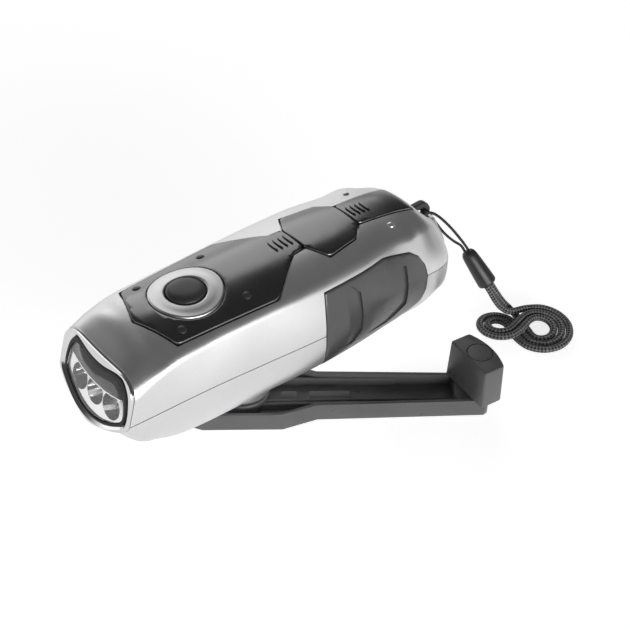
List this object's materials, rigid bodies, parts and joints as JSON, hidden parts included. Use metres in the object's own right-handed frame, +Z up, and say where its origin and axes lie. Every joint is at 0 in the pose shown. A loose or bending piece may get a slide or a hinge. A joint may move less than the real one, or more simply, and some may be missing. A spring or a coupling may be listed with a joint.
{
  "type": "hand crank flashlight",
  "caption": "Pocket flashlight with a curved lens and clear lamps, a push switch on top, rubber side grips, a swing-out crank arm with an upright knob under the body, and a lanyard.",
  "frame": {"origin": "on the crank's axis, on the flat underside of the crank's hub, which the flashlight rests on", "axes": "+Z up along the crank's axis, -Y towards the lens, +Y towards the lanyard's lug, +X to the side that the crank arm is swung out to"},
  "size_m": [0.0837, 0.175, 0.0612],
  "materials": {
    "silver_casing": "satin",
    "black_panels": "gloss",
    "grip_rubber": "matte",
    "bezel_chrome": "polished",
    "gasket_rubber": "satin",
    "clear_lens": "polished",
    "reflector_plating": "polished",
    "led_resin": "polished",
    "circuit_board": "satin",
    "ring_metal": "satin",
    "dark_plastic": "satin",
    "switch_body": "matte",
    "capacitor_sleeve": "satin",
    "cell_can": "satin",
    "wire_sleeve": "satin",
    "steel": "satin",
    "plate_alloy": "satin",
    "white_nylon": "satin",
    "brass": "satin",
    "ferrite": "matte",
    "copper_winding": "satin",
    "black_bead": "satin",
    "lanyard_cord": "matte"
  },
  "bodies": {
    "housing": {"upper_shell": "silver_casing", "lower_shell": "silver_casing", "lens_bezel": "bezel_chrome", "lens_gasket": "gasket_rubber", "lens": "clear_lens", "reflector": "reflector_plating", "led_left": "led_resin", "led_middle": "led_resin", "led_right": "led_resin", "led_board": "circuit_board", "front_panel": "black_panels", "rear_insert": "black_panels", "tail_strip": "black_panels", "switch_ring": "ring_metal", "right_grip": "grip_rubber", "left_grip": "grip_rubber", "main_board": "circuit_board", "board_screw_1": "steel", "board_screw_2": "steel", "tact_switch": "switch_body", "smoothing_capacitor": "capacitor_sleeve", "battery_cell_1": "cell_can", "battery_cell_2": "cell_can", "battery_cell_3": "cell_can", "lamp_lead": "wire_sleeve", "battery_lead": "wire_sleeve", "generator_lead": "wire_sleeve", "case_screw_1": "steel", "case_screw_2": "steel", "case_screw_3": "steel", "case_screw_4": "steel", "gear_plate": "plate_alloy", "plate_screw_1": "steel", "plate_screw_2": "steel", "axle_pin_1": "steel", "axle_pin_2": "steel", "stator_cup_lower": "steel", "stator_cup_upper": "steel", "stator_coil": "copper_winding", "shaft_bush": "brass", "lanyard_lug": "dark_plastic", "lanyard_bead": "black_bead", "lanyard_string": "lanyard_cord", "lanyard_hank": "lanyard_cord", "lanyard_strand_left": "lanyard_cord", "lanyard_strand_right": "lanyard_cord"},
    "crank": {"crank_shaft": "steel", "hub_washer": "white_nylon", "crank_arm": "dark_plastic", "hub_cap": "dark_plastic", "crank_screw": "steel", "knob_pin": "steel", "drive_gear": "white_nylon"},
    "knob_grip": {"knob": "dark_plastic", "knob_cap": "dark_plastic"},
    "button": {"power_button": "dark_plastic"},
    "first_gear": {"compound_gear_1": "white_nylon"},
    "second_gear": {"compound_gear_2": "white_nylon"},
    "generator_rotor": {"rotor_pinion": "brass", "rotor_magnet": "ferrite"}
  },
  "joints": [
    {"name": "crank_turn", "type": "hinge", "parent": "housing", "child": "crank", "pos_m": [0, 0, 0.0034], "axis": [0, 0, 1], "continuous": true},
    {"name": "knob_spin", "type": "hinge", "parent": "crank", "child": "knob_grip", "pos_m": [0.04893, 0.06151, 0.0076], "axis": [0, 0, 1], "continuous": true},
    {"name": "button_press", "type": "slide", "parent": "housing", "child": "button", "axis": [0, 0, -1], "range_m": [0, 0.0008], "stiffness_N_per_m": 1500},
    {"name": "first_gear_turn", "type": "hinge", "parent": "housing", "child": "first_gear", "pos_m": [-0.006, 0.01569, 0.0233], "axis": [0, 0, 1], "continuous": true},
    {"name": "second_gear_turn", "type": "hinge", "parent": "housing", "child": "second_gear", "pos_m": [0.0045, 0.0215, 0.0267], "axis": [0, 0, 1], "continuous": true},
    {"name": "rotor_turn", "type": "hinge", "parent": "housing", "child": "generator_rotor", "pos_m": [0, 0.03263, 0.0382], "axis": [0, 0, 1], "continuous": true}
  ],
  "couplings": [
    {"joint": "first_gear_turn", "follows": "crank_turn", "ratio": -3.2},
    {"joint": "second_gear_turn", "follows": "crank_turn", "ratio": 9.6},
    {"joint": "rotor_turn", "follows": "crank_turn", "ratio": -28.8}
  ]
}
